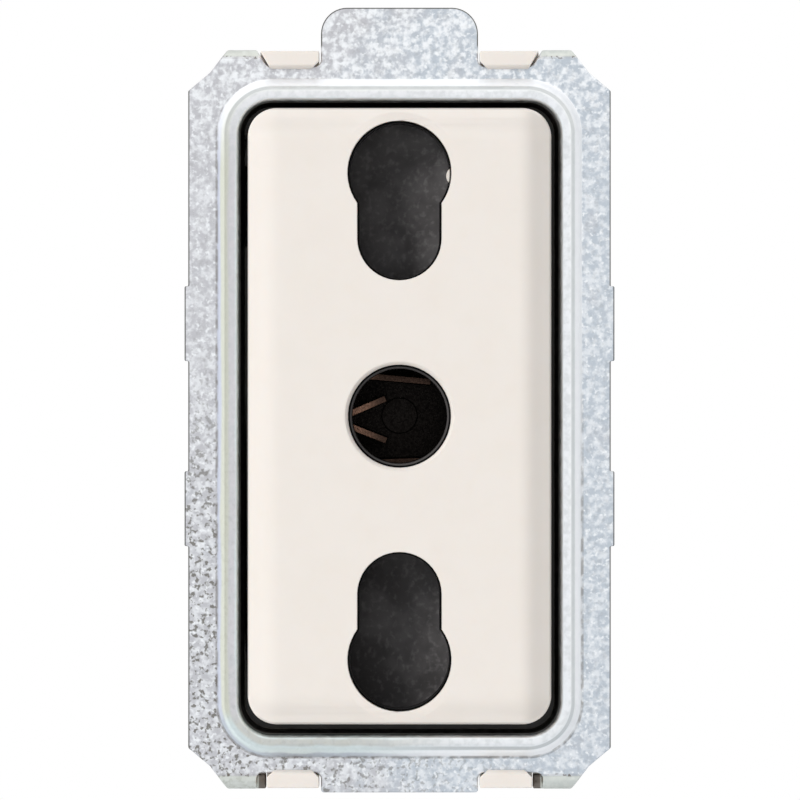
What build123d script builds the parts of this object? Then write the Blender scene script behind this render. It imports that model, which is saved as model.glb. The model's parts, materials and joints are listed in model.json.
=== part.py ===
from build123d import *
import os
from math import atan, degrees

# A modular wall socket for round pins in a row of three: line, earth and neutral.
# Millimetres. X runs across the socket, Z up its height, and Y from its front to its back.
# The origin is on the axis of the earth hole, in the plane where the frame seats.

# Pin holes in the face
large_pitch = 26.0
small_pitch = 19.0
large_hole = 5.55
small_hole = 4.5
earth_hole = 5.5
hole_chamfer = 0.2

# Steel frame
frame_width = 22.6
flange_top = 1.56
flange_bottom = 1.71
sheet = 0.8
coining = 0.1
corner_run = 2.1
corner_drop = 2.2
corner_dent = 0.12
lobe_length = 4.0
lobe_reach = 0.2
lobe_centre = 4.95
tab_width = 8.4
tab_height = 2.25
tab_corner = 1.4
tongue_drop = 0.18
notch_outer = 7.65
notch_depth = 0.88
notch_slant = 0.55
notch_rounding = 0.35
ear_lip_reach = 1.5
ear_lip_overlap = 0.5
ear_bend = 0.5
opening_width = 17.14
opening_corner = 1.75
opening_shift = -0.1
rim_rise = 0.7
rim_ledge = 0.65
rim_slope = 0.55
rim_chamfer = 0.18
lip_reach = 0.7
lip_wall = 0.5
lip_slope = 0.27

# Front cover
fit_gap = 0.1
face_margin = 0.675
face_side_gap = 0.47
face_end_gap = 0.49
cover_corner = 1.55
face_proud = 0.8
face_thickness = 1.5
pillow_band = 1.7
pillow_drop = 0.45
pillow_chamfer = 0.12
neck_wall = 1.1
neck_end_wall = 0.5
collar_margin = 0.83
collar_step = 1.1
collar_thickness = 1.8
skirt_corner = 1.2
skirt_wall = 1.0
skirt_depth = 7.3
hook_width = 2.8
hook_end_gap = 0.2
hook_corner = 0.4
hook_thickness = 0.76
hook_lap = 0.15
hook_nose = 0.5
hook_gap = 0.04
slot_low = 9.1
slot_high = 13.4
peg_radius = 0.5
peg_length = 1.1
peg_inset = 0.225
peg_drop = 0.15
latch_width = 6.0
latch_reach = 4.4
latch_window = 3.4
latch_window_depth = 1.3
latch_catch = 0.5

# Black guide behind the face
guide_step = 0.12
earth_bore = 5.1

# Shutter and its spring
shutter_travel = 5.4
shutter_gap = 0.1
shutter_room = 3.5
shutter_plate = 1.6
shutter_end_gap = 0.5
pad_rest = 0.8
pad_overlap = 0.35
slot_half = 2.75
ramp_rounding = 0.6
spring_height = 4.85
spring_diameter = 1.5
spring_wire = 0.28
spring_sides = 4
spring_turns = 5
spring_room = 2.4
post_width = 1.1

# Housing
nose_wall = 1.2
well_half = 3.75
well_inner = 5.0
well_outer = 4.65
housing_wall = 1.5
contact_well_half = 3.2
contact_well_reach = 4.45
seat_depth = 18.0
pocket_inner = 5.0
pocket_low = 5.2
pocket_wall = 1.2
pocket_floor = 11.0
boss_radius = 2.1
assembly_across = 7.0
assembly_height = 11.0
assembly_screw = 2.2
assembly_head = 3.8
assembly_length = 9.0
rear_thickness = 1.4
rear_chamfer = 0.4
access_hole = 3.8

# Contacts, terminals, clamps and screws
clip_sheet = 0.4
clip_height = 7.8
clip_front = 7.0
clip_gap = 3.7
clip_neck = 10.5
clip_flare = 0.8
clip_bend = 0.7
slit_width = 0.6
slit_back = 15.0
sleeve_sheet = 0.35
strip_sheet = 0.8
strip_width = 5.0
strip_leg = 4.3
strip_bend = 0.8
pad_length = 7.4
tongue_reach = 3.1
clamp_centre = 1.1
clamp_front_gap = 1.6
clamp_length = 4.4
clamp_sheet = 0.8
clamp_back_sheet = 1.0
clamp_back_gap = 1.0
clamp_side_gap = 0.2
clamp_rounding = 0.5
wire_room = 3.0
clamp_travel = 2.4
wire_window_width = 5.6
wire_window_depth = 4.6
screw_diameter = 3.4
screw_head = 4.3
screw_chamfer = 0.3
head_height = 1.5
drive_width = 0.7
drive_depth = 0.8
thread_gap = 0.05
rivet_diameter = 1.3
rivet_head = 2.0
rivet_head_height = 0.35

# Places that follow from the sizes above
cover_width = opening_width - 2 * face_side_gap
cover_height = large_pitch + large_hole + 2 * face_margin
opening_height = cover_height + 2 * face_end_gap
rim_band = rim_ledge + rim_slope
lip_width = opening_width + 2 * lip_wall
lip_height = opening_height + 2 * lip_wall
collar_width = lip_width + 2 * collar_margin
frame_top = opening_height / 2 + opening_shift + rim_band + flange_top
frame_bottom = opening_height / 2 - opening_shift + rim_band + flange_bottom
rim_front = -(sheet + rim_rise)
face_front = rim_front - face_proud
face_under = face_front + face_thickness
collar_front = -coining
collar_back = collar_front + collar_thickness
skirt_back = collar_back + skirt_depth
nose_front = collar_back + shutter_room
well_floor = nose_front + nose_wall
clamp_front = seat_depth + strip_sheet + clamp_front_gap
tongue_back = clamp_front + clamp_sheet + wire_room + strip_sheet
clamp_inner_back = tongue_back + clamp_back_gap
clamp_back = clamp_inner_back + clamp_back_sheet
head_front = clamp_back + clamp_travel + fit_gap
head_back = head_front + head_height
housing_back = head_back + fit_gap
rear_back = housing_back + rear_thickness
frame_half = frame_width / 2
collar_half = collar_width / 2
pole_height = (large_pitch + small_pitch) / 4
skirt_half = pole_height + well_outer + housing_wall
skirt_height = 2 * skirt_half
collar_height = skirt_height + 2 * collar_step
cavity_half = collar_half - skirt_wall
cavity_reach = skirt_half - skirt_wall
neck_half = cover_width / 2 - neck_wall
neck_reach = cover_height / 2 - neck_end_wall
poles = {"line": (pole_height, 90), "earth": (0, 0), "neutral": (-pole_height, -90)}

os.makedirs("parts", exist_ok=True)


def save(builder, name):
    """Label a finished piece and write it to its own file."""
    builder.part.label = name
    export_step(builder.part, f"parts/{name}.step")


def facing(depth):
    """A sketch plane at this depth, seen from the front: its own x is X and its own y is Z."""
    return Plane.XZ.offset(-depth)


def pole_spot(pole, outward=0):
    """A pole's place on a facing plane, turned so that x there is the way its wire comes in."""
    height, angle = poles[pole]
    return Location((0, height, 0), (0, 0, angle)) * Location((outward, 0, 0))


def pole_axes(pole):
    """A pole's centre, the way out towards its wire, and the way across that."""
    height, angle = poles[pole]
    outward = Vector(1, 0, 0).rotate(Axis.Y, -angle)
    return Vector(0, 0, height), outward, Vector(0, 1, 0).cross(outward)


def along(pole):
    """A plane through a pole's middle: x is the way out towards its wire, and y is depth."""
    centre, outward, across = pole_axes(pole)
    return Plane(origin=centre, x_dir=outward, z_dir=-across)


def across(pole, reach):
    """A plane at this reach towards the wire, facing it: x is across, and y is depth."""
    centre, outward, sideways = pole_axes(pole)
    return Plane(origin=centre + outward * reach, x_dir=sideways, z_dir=outward)


def pin_holes(step):
    """Both keyholes, each a large hole joined to a small one, drawn smaller all round by step."""
    for side in (1, -1):
        with Locations((0, side * large_pitch / 2)):
            Circle(large_hole / 2 - step)
        with Locations((0, side * small_pitch / 2)):
            Circle(small_hole / 2 - step)
        with Locations((0, side * pole_height)):
            Rectangle(small_hole - 2 * step, (large_pitch - small_pitch) / 2)


# Steel frame: a stamped sheet with a raised rim round its opening
ear_outer = frame_half - corner_run
corner_middle = frame_half - corner_run / 2 - corner_dent
notch_inner = tab_width / 2
seat_edge = collar_half + fit_gap
lip_lean = degrees(atan(lip_slope / (lip_reach - rim_front)))
edges_of_frame = ((frame_top, -1, notch_slant), (-frame_bottom, 1, 0.0))


def in_notch_corner(line):
    """Whether this edge runs through the sheet in an inner corner of a notch."""
    place = line.center()
    floor = frame_top if place.Z > 0 else frame_bottom
    return abs(abs(place.Z) - floor + notch_depth) < 0.01 and abs(place.X) < notch_outer + 0.01


with BuildPart() as frame:
    with BuildSketch(facing(0)):
        with BuildLine():
            Polyline(
                (0, -frame_bottom),
                (ear_outer, -frame_bottom),
                (corner_middle, -frame_bottom + corner_drop / 2 + corner_dent),
                (frame_half, -frame_bottom + corner_drop),
                (frame_half, frame_top - corner_drop),
                (corner_middle, frame_top - corner_drop / 2 - corner_dent),
                (ear_outer, frame_top),
                (0, frame_top),
                close=True,
            )
        make_face()
        mirror(about=Plane.YZ)
        with Locations((0, lobe_centre), (0, -lobe_centre)):
            Rectangle(frame_width, lobe_length + 2 * lobe_reach)
            Rectangle(frame_width + 2 * lobe_reach, lobe_length)
        with Locations((0, frame_top)):
            RectangleRounded(tab_width, 2 * tab_height, tab_corner)
        with Locations((0, -frame_bottom)):
            RectangleRounded(tab_width, 2 * tongue_drop, tongue_drop * 0.9)
        for side in (1, -1):
            for edge, inward, slant in edges_of_frame:
                with BuildLine():
                    Polyline(
                        (side * notch_inner, edge + inward * notch_depth),
                        (side * (notch_outer - slant), edge + inward * notch_depth),
                        (side * notch_outer, edge),
                        (side * notch_outer, edge - inward * notch_depth),
                        (side * notch_inner, edge - inward * notch_depth),
                        close=True,
                    )
                make_face(mode=Mode.SUBTRACT)
    extrude(amount=sheet)
    # the back is coined thinner between the two side strips that seat on the support
    with BuildSketch(facing(0)):
        Rectangle(2 * seat_edge, 3 * frame_top)
    extrude(amount=coining, mode=Mode.SUBTRACT)
    # raised rim with a sloping outer side, and a lip turned back round the opening
    with BuildSketch(facing(-sheet)):
        with Locations((0, opening_shift)):
            RectangleRounded(
                opening_width + 2 * rim_band,
                opening_height + 2 * rim_band,
                opening_corner + rim_band,
            )
    extrude(amount=rim_rise, taper=degrees(atan(rim_slope / rim_rise)))
    with BuildSketch(facing(lip_reach)):
        with Locations((0, opening_shift)):
            RectangleRounded(lip_width, lip_height, opening_corner + lip_wall)
    extrude(amount=lip_reach + sheet / 2)
    with BuildSketch(facing(rim_front)):
        with Locations((0, opening_shift)):
            RectangleRounded(opening_width, opening_height, opening_corner)
    extrude(amount=rim_front - lip_reach, taper=lip_lean, mode=Mode.SUBTRACT)
    chamfer(frame.faces().sort_by(Axis.Y)[0].edges(), rim_chamfer)
    fillet(frame.edges().filter_by(Axis.Y).filter_by(in_notch_corner), notch_rounding)
    # four ears folded back beside the notches, the lower two a little wider behind their notches
    for lip_front, overlap in ((0, ear_lip_overlap), (-sheet, 0)):
        with BuildSketch(facing(ear_lip_reach)):
            for edge, inward, slant in edges_of_frame:
                lip_inner = notch_outer if slant else notch_outer - overlap
                for side in (1, -1):
                    with Locations((side * (lip_inner + ear_outer) / 2, edge + inward * sheet / 2)):
                        Rectangle(ear_outer - lip_inner, sheet)
        extrude(amount=ear_lip_reach - lip_front)
    ear_edges = (
        frame.edges()
        .filter_by(Axis.X)
        .filter_by_position(Axis.Y, -sheet - fit_gap, -sheet + fit_gap)
        .filter_by(lambda e: notch_outer < abs(e.center().X) < ear_outer)
        .filter_by(lambda e: abs(e.center().Z) > frame_top - fit_gap)
    )
    fillet(ear_edges, ear_bend)
save(frame, "mounting_frame")

# Front cover: a pillow-shaped face on a neck, a collar behind the frame, and a skirt
pillow_x = cover_width / 2 - pillow_band
pillow_z = cover_height / 2 - pillow_band
pillow_edge = face_front + pillow_drop
pocket_back = lip_reach + 2 * fit_gap
hook_across = notch_inner + fit_gap
hook_front = -sheet - hook_gap - hook_nose
peg_across = large_hole / 2 + peg_inset
peg_height = large_pitch / 2 - peg_drop
peg_places = ((peg_across, peg_height), (-peg_across - 3 * peg_radius, -peg_height))
latch_window_centre = skirt_back + latch_reach - latch_window_depth

with BuildPart() as cover:
    with BuildSketch(facing(collar_back)):
        RectangleRounded(cover_width, cover_height, cover_corner)
    extrude(amount=collar_back - face_front)
    # the four edges of the face fall away in shallow arcs that meet in mitres
    with BuildSketch(Plane.XY):
        with BuildLine():
            TangentArc((pillow_x, face_front), (cover_width / 2, pillow_edge), tangent=(1, 0))
            Polyline(
                (cover_width / 2, pillow_edge),
                (cover_width, pillow_edge),
                (cover_width, face_front - sheet),
                (pillow_x, face_front - sheet),
                (pillow_x, face_front),
            )
        make_face()
        mirror(about=Plane.YZ)
    extrude(amount=cover_height, both=True, mode=Mode.SUBTRACT)
    with BuildSketch(Plane.YZ):
        with BuildLine():
            TangentArc((face_front, pillow_z), (pillow_edge, cover_height / 2), tangent=(0, 1))
            Polyline(
                (pillow_edge, cover_height / 2),
                (pillow_edge, cover_height),
                (face_front - sheet, cover_height),
                (face_front - sheet, pillow_z),
                (face_front, pillow_z),
            )
        make_face()
        mirror(about=Plane.XZ)
    extrude(amount=cover_width, both=True, mode=Mode.SUBTRACT)
    sides = cover.faces().filter_by(lambda f: abs(f.normal_at().Y) < 0.01)
    chamfer([f.edges().sort_by(Axis.Y)[0] for f in sides], pillow_chamfer)
    # collar, with a pocket for the frame's lip
    with BuildSketch(facing(collar_back)):
        RectangleRounded(collar_width, collar_height, skirt_corner)
    extrude(amount=collar_thickness)
    with BuildSketch(facing(pocket_back)):
        with Locations((0, opening_shift)):
            RectangleRounded(
                lip_width + 2 * fit_gap,
                lip_height + 2 * fit_gap,
                opening_corner + lip_wall + fit_gap,
            )
        RectangleRounded(cover_width, cover_height, cover_corner, mode=Mode.SUBTRACT)
    extrude(amount=pocket_back - collar_front, mode=Mode.SUBTRACT)
    # skirt, and the hollow inside skirt and neck
    with BuildSketch(facing(skirt_back)):
        RectangleRounded(collar_width, skirt_height, skirt_corner)
    extrude(amount=skirt_depth)
    with BuildSketch(facing(skirt_back)):
        Rectangle(2 * cavity_half, 2 * cavity_reach)
    extrude(amount=skirt_depth, mode=Mode.SUBTRACT)
    with BuildSketch(facing(collar_back)):
        Rectangle(2 * neck_half, 2 * neck_reach)
    extrude(amount=collar_back - face_under, mode=Mode.SUBTRACT)
    # pin holes with eased mouths
    with BuildSketch(facing(face_under)):
        pin_holes(0)
        Circle(earth_hole / 2)
    extrude(amount=face_thickness, mode=Mode.SUBTRACT)
    mouths = cover.faces().sort_by(Axis.Y)[0].inner_wires()
    chamfer([e for mouth in mouths for e in mouth.edges()], hole_chamfer)
    # pegs that place the guide, one of them just inside a keyhole's edge
    with BuildSketch(facing(face_under + peg_length)):
        with Locations(*peg_places):
            Circle(peg_radius)
    extrude(amount=peg_length)
    # moulding slot through the collar, beside the neck
    with BuildSketch(facing(collar_back)):
        with Locations((-(cover_width / 2 + lip_width / 2) / 2, (slot_low + slot_high) / 2)):
            Rectangle(lip_width / 2 - cover_width / 2, slot_high - slot_low)
    extrude(amount=collar_thickness, mode=Mode.SUBTRACT)
    # hooks that reach through the notches and lap over the sheet
    for edge, side, slant in ((frame_top, 1, notch_slant), (frame_bottom, -1, 0.0)):
        hook_inner = edge - notch_depth + hook_gap
        hook_outer = hook_inner + hook_thickness
        lap = hook_inner - hook_gap - hook_lap
        hook_end = notch_outer - hook_end_gap if slant else hook_across + hook_width
        with BuildSketch(Plane.YZ.offset(hook_across)):
            with BuildLine():
                Polyline(
                    (collar_back, side * (collar_height / 2 - hook_thickness)),
                    (collar_back, side * hook_outer),
                    (hook_front, side * hook_outer),
                    (hook_front, side * hook_inner),
                    (hook_front + hook_nose / 2, side * lap),
                    (-sheet - hook_gap, side * lap),
                    (-sheet - hook_gap, side * hook_inner),
                    (collar_front, side * hook_inner),
                    (collar_front, side * (collar_height / 2 - hook_thickness)),
                    close=True,
                )
            make_face()
        hook = extrude(amount=hook_end - hook_across)
        mirror(hook, about=Plane.YZ)
        # its inner corners are cut off, and at a slanted notch its whole end leans
        end_cut = max(slant, hook_corner)
        end_rise = hook_outer - lap if slant else hook_corner
        with BuildSketch(facing(collar_front)):
            for corner, run, rise in ((hook_across, hook_corner, hook_corner), (hook_end, -end_cut, end_rise)):
                with BuildLine():
                    Polyline(
                        (corner, side * lap),
                        (corner + run, side * lap),
                        (corner, side * (lap + rise)),
                        close=True,
                    )
                make_face()
            mirror(about=Plane.YZ)
        extrude(amount=collar_front - hook_front, mode=Mode.SUBTRACT)
    # two latch tongues that run back over the housing, each with a window
    with BuildSketch(facing(skirt_back + latch_reach)):
        with Locations((collar_half - skirt_wall / 2, 0), (skirt_wall / 2 - collar_half, 0)):
            Rectangle(skirt_wall, latch_width)
    extrude(amount=latch_reach + skirt_wall)
    with BuildSketch(Plane.YZ):
        with Locations((latch_window_centre, 0)):
            Rectangle(latch_window_depth, latch_window)
    extrude(amount=collar_width, both=True, mode=Mode.SUBTRACT)
save(cover, "front_cover")

# Guide: the black plate behind the face, with the same holes a little smaller
with BuildPart() as guide:
    with BuildSketch(facing(collar_back)):
        Rectangle(2 * (neck_half - fit_gap), 2 * (neck_reach - fit_gap))
    extrude(amount=collar_back - face_under)
    with BuildSketch(facing(collar_back)):
        pin_holes(guide_step)
        Circle(earth_bore / 2)
    extrude(amount=collar_back - face_under, mode=Mode.SUBTRACT)
    with BuildSketch(facing(face_under + peg_length + fit_gap)):
        with Locations(*peg_places):
            Circle(peg_radius + fit_gap)
    extrude(amount=peg_length + fit_gap, mode=Mode.SUBTRACT)
save(guide, "pin_guide")

# Shutter: a slider whose two ramps close the keyholes, pushed aside by the pins
pad_left = large_hole / 2
bridge_half = (small_pitch - small_hole) / 2 - pad_overlap
shutter_reach = cavity_reach - shutter_end_gap
shutter_front = collar_back + shutter_gap
shutter_back = nose_front - shutter_gap
plate_front = shutter_back - shutter_plate
shutter_left = -cavity_half + shutter_gap
shutter_right = cavity_half - shutter_gap - shutter_travel
pad_crest = shutter_right - pad_rest
slot_left = -shutter_travel - slot_half
pocket_left = slot_left + fit_gap
post_right = slot_half - fit_gap

with BuildPart() as shutter:
    with BuildSketch(facing(shutter_back)):
        with Locations(((shutter_left + shutter_right) / 2, 0)):
            Rectangle(shutter_right - shutter_left, 2 * bridge_half)
        with Locations(((shutter_right - pad_left) / 2, 0)):
            Rectangle(shutter_right + pad_left, 2 * shutter_reach)
        with Locations(((slot_left + slot_half) / 2, 0)):
            SlotOverall(slot_half - slot_left, 2 * slot_half, mode=Mode.SUBTRACT)
        with Locations(((pocket_left + slot_half) / 2, spring_height)):
            Rectangle(slot_half - pocket_left, spring_room, mode=Mode.SUBTRACT)
    extrude(amount=shutter_plate)
    for side in (1, -1):
        with BuildSketch(Plane.XY.offset(side * bridge_half)):
            with BuildLine():
                Polyline(
                    (-pad_left, plate_front + shutter_plate / 2),
                    (-pad_left, plate_front),
                    (pad_crest, shutter_front),
                    (shutter_right, shutter_front),
                    (shutter_right, plate_front + shutter_plate / 2),
                    close=True,
                )
            make_face()
        extrude(amount=side * (shutter_reach - bridge_half))
    crests = shutter.edges().filter_by(Axis.Z).filter_by_position(
        Axis.Y, shutter_front - fit_gap, shutter_front + fit_gap
    )
    fillet(crests, ramp_rounding)
save(shutter, "shutter")

# Spring: a coil in the shutter's pocket, pressed against the housing's post
post_left = post_right - post_width
spring_left = pocket_left + spring_wire / 2
spring_length = post_left - spring_wire / 2 - spring_left
spring_axis = (plate_front + shutter_back) / 2

with BuildPart() as spring:
    with BuildLine():
        coil = Helix(
            pitch=spring_length / spring_turns,
            height=spring_length,
            radius=(spring_diameter - spring_wire) / 2,
            center=(spring_left, spring_axis, spring_height),
            direction=(1, 0, 0),
        )
    with BuildSketch(Plane(origin=coil @ 0, z_dir=coil % 0)):
        RegularPolygon(spring_wire / 2, spring_sides)
    sweep(is_frenet=True)
save(spring, "shutter_spring")

# Housing: the black block with a well for each contact and its terminal
window_middle = tongue_back - strip_sheet - wire_room / 2
assembly_places = ((assembly_across, -assembly_height), (-assembly_across, assembly_height))
pocket_outer = collar_half - pocket_wall
pocket_high = skirt_half - pocket_wall
pocket_x = (pocket_inner + pocket_outer) / 2
pocket_z = (pocket_low + pocket_high) / 2

with BuildPart() as housing:
    with BuildSketch(facing(skirt_back)):
        Rectangle(2 * (cavity_half - fit_gap), 2 * (cavity_reach - fit_gap))
    extrude(amount=skirt_back - nose_front)
    with BuildSketch(facing(housing_back)):
        RectangleRounded(collar_width, skirt_height, skirt_corner)
    extrude(amount=housing_back - skirt_back)
    # pin holes through the nose
    with BuildSketch(facing(well_floor)):
        pin_holes(guide_step)
        Circle(earth_bore / 2)
    extrude(amount=nose_wall, mode=Mode.SUBTRACT)
    # wells for the contacts, and wider ones behind them for the terminals
    with BuildSketch(facing(seat_depth)):
        with Locations(*[pole_spot(pole) for pole in poles]):
            Rectangle(2 * contact_well_reach, 2 * contact_well_half)
    extrude(amount=seat_depth - well_floor, mode=Mode.SUBTRACT)
    with BuildSketch(facing(housing_back)):
        with Locations(*[pole_spot(pole, (well_outer - well_inner) / 2) for pole in poles]):
            Rectangle(well_inner + well_outer, 2 * well_half)
    extrude(amount=housing_back - seat_depth, mode=Mode.SUBTRACT)
    # hollow corners, with bosses for the assembly screws
    with BuildSketch(facing(housing_back)):
        with Locations(*[(x, z) for x in (pocket_x, -pocket_x) for z in (pocket_z, -pocket_z)]):
            Rectangle(pocket_outer - pocket_inner, pocket_high - pocket_low)
        with Locations(*assembly_places):
            Circle(boss_radius, mode=Mode.SUBTRACT)
    extrude(amount=housing_back - pocket_floor, mode=Mode.SUBTRACT)
    with BuildSketch(facing(housing_back)):
        with Locations(*assembly_places):
            Circle(assembly_screw / 2)
    extrude(amount=assembly_length, mode=Mode.SUBTRACT)
    # windows where the wires come in
    for pole in poles:
        with BuildSketch(across(pole, 0)):
            with Locations((0, window_middle)):
                Rectangle(wire_window_width, wire_window_depth)
        extrude(amount=skirt_half, mode=Mode.SUBTRACT)
    # seats for the cover's latches, each with a catch that fills the latch's window
    with BuildSketch(facing(skirt_back + latch_reach + fit_gap)):
        with Locations((collar_half - skirt_wall / 2, 0), (skirt_wall / 2 - collar_half, 0)):
            Rectangle(skirt_wall, latch_width + 2 * fit_gap)
    extrude(amount=latch_reach + fit_gap, mode=Mode.SUBTRACT)
    for side in (1, -1):
        with BuildSketch(Plane.YZ.offset(side * cavity_half)):
            with Locations((latch_window_centre, 0)):
                Rectangle(latch_window_depth - 2 * fit_gap, latch_window - 2 * fit_gap)
        extrude(amount=side * latch_catch)
    # post that the shutter's spring presses on
    with BuildSketch(facing(nose_front)):
        with Locations((post_right - post_width / 2, spring_height)):
            Rectangle(post_width, spring_room - 2 * fit_gap)
    extrude(amount=shutter_gap + shutter_plate)
save(housing, "rear_housing")

# Rear cover: a plate that closes the wells, with a hole over each terminal screw
with BuildPart() as rear:
    with BuildSketch(facing(rear_back)):
        RectangleRounded(collar_width, skirt_height, skirt_corner)
    extrude(amount=rear_thickness)
    chamfer(rear.faces().sort_by(Axis.Y)[-1].edges(), rear_chamfer)
    with BuildSketch(facing(rear_back)):
        with Locations(*[pole_spot(pole, clamp_centre) for pole in poles]):
            Circle(access_hole / 2)
        with Locations(*assembly_places):
            Circle(assembly_screw / 2 + thread_gap)
    extrude(amount=rear_thickness, mode=Mode.SUBTRACT)
save(rear, "rear_cover")


def finger_clip(pole):
    """A folded clip for a live pole: two leaves, each slit into a finger for either pin row."""
    neck = (clip_gap + clip_sheet) / 2
    base = seat_depth - clip_sheet / 2
    root = contact_well_half - clip_sheet - fit_gap
    height = poles[pole][0]
    with BuildPart() as clip:
        with BuildSketch(Plane.XY.offset(height)):
            with BuildLine():
                FilletPolyline(
                    (-neck - clip_flare, clip_front),
                    (-neck, clip_neck),
                    (-root, base),
                    (root, base),
                    (neck, clip_neck),
                    (neck + clip_flare, clip_front),
                    radius=clip_bend,
                )
            trace(line_width=clip_sheet)
        extrude(amount=clip_height / 2, both=True)
        with BuildSketch(Plane.XY.offset(height)):
            with Locations((0, (clip_front + slit_back) / 2 - clip_sheet)):
                Rectangle(2 * collar_half, slit_back - clip_front + 2 * clip_sheet)
        extrude(amount=slit_width / 2, both=True, mode=Mode.SUBTRACT)
        with BuildSketch(facing(seat_depth)):
            with Locations(pole_spot(pole)):
                Circle(rivet_diameter / 2)
        extrude(amount=2 * clip_sheet, mode=Mode.SUBTRACT)
    return clip


for pole in ("line", "neutral"):
    save(finger_clip(pole), f"{pole}_contact")

# Earth contact: a sleeve open to the right, with two fingers that meet the pin from the left
sleeve_web = -3.15
sleeve_halves = (
    ((-0.75, 0.95), (-2.6, 0.15), (sleeve_web, 0.5), (sleeve_web, 2.3), (1.7, 1.85)),
    ((-0.7, -1.35), (-2.6, -0.6), (sleeve_web, -0.95), (sleeve_web, -2.6), (1.1, -2.45)),
)

with BuildPart() as earth_clip:
    with BuildSketch(facing(seat_depth)):
        for half in sleeve_halves:
            with BuildLine():
                Polyline(*half)
            trace(line_width=sleeve_sheet)
    extrude(amount=seat_depth - clip_front)
    with BuildSketch(facing(seat_depth)):
        Rectangle(clip_height, 2 * (contact_well_half - fit_gap))
        Circle(rivet_diameter / 2, mode=Mode.SUBTRACT)
    extrude(amount=clip_sheet)
save(earth_clip, "earth_contact")


def terminal(pole):
    """A strip that carries a clip on its foot and turns back to make the tongue the wire lies on."""
    foot = seat_depth + strip_sheet / 2
    tongue = tongue_back - strip_sheet / 2
    with BuildPart() as strip:
        with BuildSketch(along(pole)):
            with BuildLine():
                FilletPolyline(
                    (pad_length / 2, foot),
                    (-strip_leg, foot),
                    (-strip_leg, tongue),
                    (tongue_reach, tongue),
                    radius=strip_bend,
                )
            trace(line_width=strip_sheet)
        extrude(amount=strip_width / 2, both=True)
        with BuildSketch(facing(seat_depth + strip_sheet)):
            with Locations(pole_spot(pole)):
                Rectangle(pad_length - 2 * strip_bend, 2 * (well_half - fit_gap))
        extrude(amount=strip_sheet)
        with BuildSketch(facing(seat_depth + strip_sheet)):
            with Locations(pole_spot(pole)):
                Circle(rivet_diameter / 2)
        extrude(amount=strip_sheet, mode=Mode.SUBTRACT)
    return strip


for pole in poles:
    save(terminal(pole), f"{pole}_terminal")

# Rivets that join each contact to its terminal strip
with BuildPart() as rivets:
    rivet_front = seat_depth - clip_sheet
    rivet_back = seat_depth + strip_sheet
    with BuildSketch(facing(rivet_back + rivet_head_height)):
        with Locations(*[pole_spot(pole) for pole in poles]):
            Circle(rivet_diameter / 2)
    extrude(amount=rivet_back - rivet_front + 2 * rivet_head_height)
    for upset in (rivet_front - rivet_head_height, rivet_back):
        with BuildSketch(facing(upset + rivet_head_height)):
            with Locations(*[pole_spot(pole) for pole in poles]):
                Circle(rivet_head / 2)
        extrude(amount=rivet_head_height)
save(rivets, "contact_rivets")

# Clamps: square cages that the screws draw back to trap the wires against the tongues
clamp_half = well_half - clamp_side_gap


def clamp(pole):
    with BuildPart() as cage:
        with BuildSketch(across(pole, clamp_centre)):
            with Locations((0, (clamp_front + clamp_back) / 2)):
                RectangleRounded(2 * clamp_half, clamp_back - clamp_front, clamp_rounding)
            with Locations((0, (clamp_front + clamp_sheet + clamp_inner_back) / 2)):
                Rectangle(
                    2 * (clamp_half - clamp_sheet),
                    clamp_inner_back - clamp_front - clamp_sheet,
                    mode=Mode.SUBTRACT,
                )
        extrude(amount=clamp_length / 2, both=True)
        with BuildSketch(facing(clamp_back)):
            with Locations(pole_spot(pole, clamp_centre)):
                Circle(screw_diameter / 2 + thread_gap)
        extrude(amount=clamp_back_sheet, mode=Mode.SUBTRACT)
    return cage


for pole in poles:
    save(clamp(pole), f"{pole}_clamp")

# Terminal screws, each resting on its tongue and kept in by the rear cover
screw_tip = tongue_back + thread_gap


def terminal_screw(pole):
    centre, outward, sideways = pole_axes(pole)
    axis = centre + outward * clamp_centre
    with BuildPart() as screw:
        with BuildSketch(along(pole)):
            with BuildLine():
                Polyline(
                    (clamp_centre, screw_tip),
                    (clamp_centre + screw_diameter / 2, screw_tip),
                    (clamp_centre + screw_diameter / 2, head_front),
                    (clamp_centre + screw_head / 2, head_front),
                    (clamp_centre + screw_head / 2, head_back),
                    (clamp_centre, head_back),
                    close=True,
                )
            make_face()
        revolve(axis=Axis(axis, (0, 1, 0)))
        with BuildSketch(facing(head_back)):
            with Locations(pole_spot(pole, clamp_centre)):
                Rectangle(screw_head + fit_gap, drive_width)
                Rectangle(drive_width, screw_head - 2 * drive_width)
        extrude(amount=drive_depth, mode=Mode.SUBTRACT)
    return screw


for pole in poles:
    save(terminal_screw(pole), f"{pole}_screw")

# Assembly screws that hold the rear cover on the housing's bosses
with BuildPart() as assembly:
    with BuildSketch(facing(rear_back)):
        with Locations(*assembly_places):
            Circle(assembly_screw / 2)
    extrude(amount=rear_thickness + assembly_length - fit_gap)
    with BuildSketch(facing(rear_back + drive_depth)):
        with Locations(*assembly_places):
            Circle(assembly_head / 2)
    extrude(amount=drive_depth)
    chamfer(assembly.faces().sort_by(Axis.Y)[-2:].edges(), screw_chamfer)
    with BuildSketch(facing(rear_back + drive_depth)):
        with Locations(*assembly_places):
            Rectangle(assembly_head - drive_width, drive_width / 2)
            Rectangle(drive_width / 2, assembly_head - drive_width)
    extrude(amount=drive_depth / 2, mode=Mode.SUBTRACT)
save(assembly, "assembly_screws")
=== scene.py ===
import json
from math import cos, pi, sin

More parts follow.
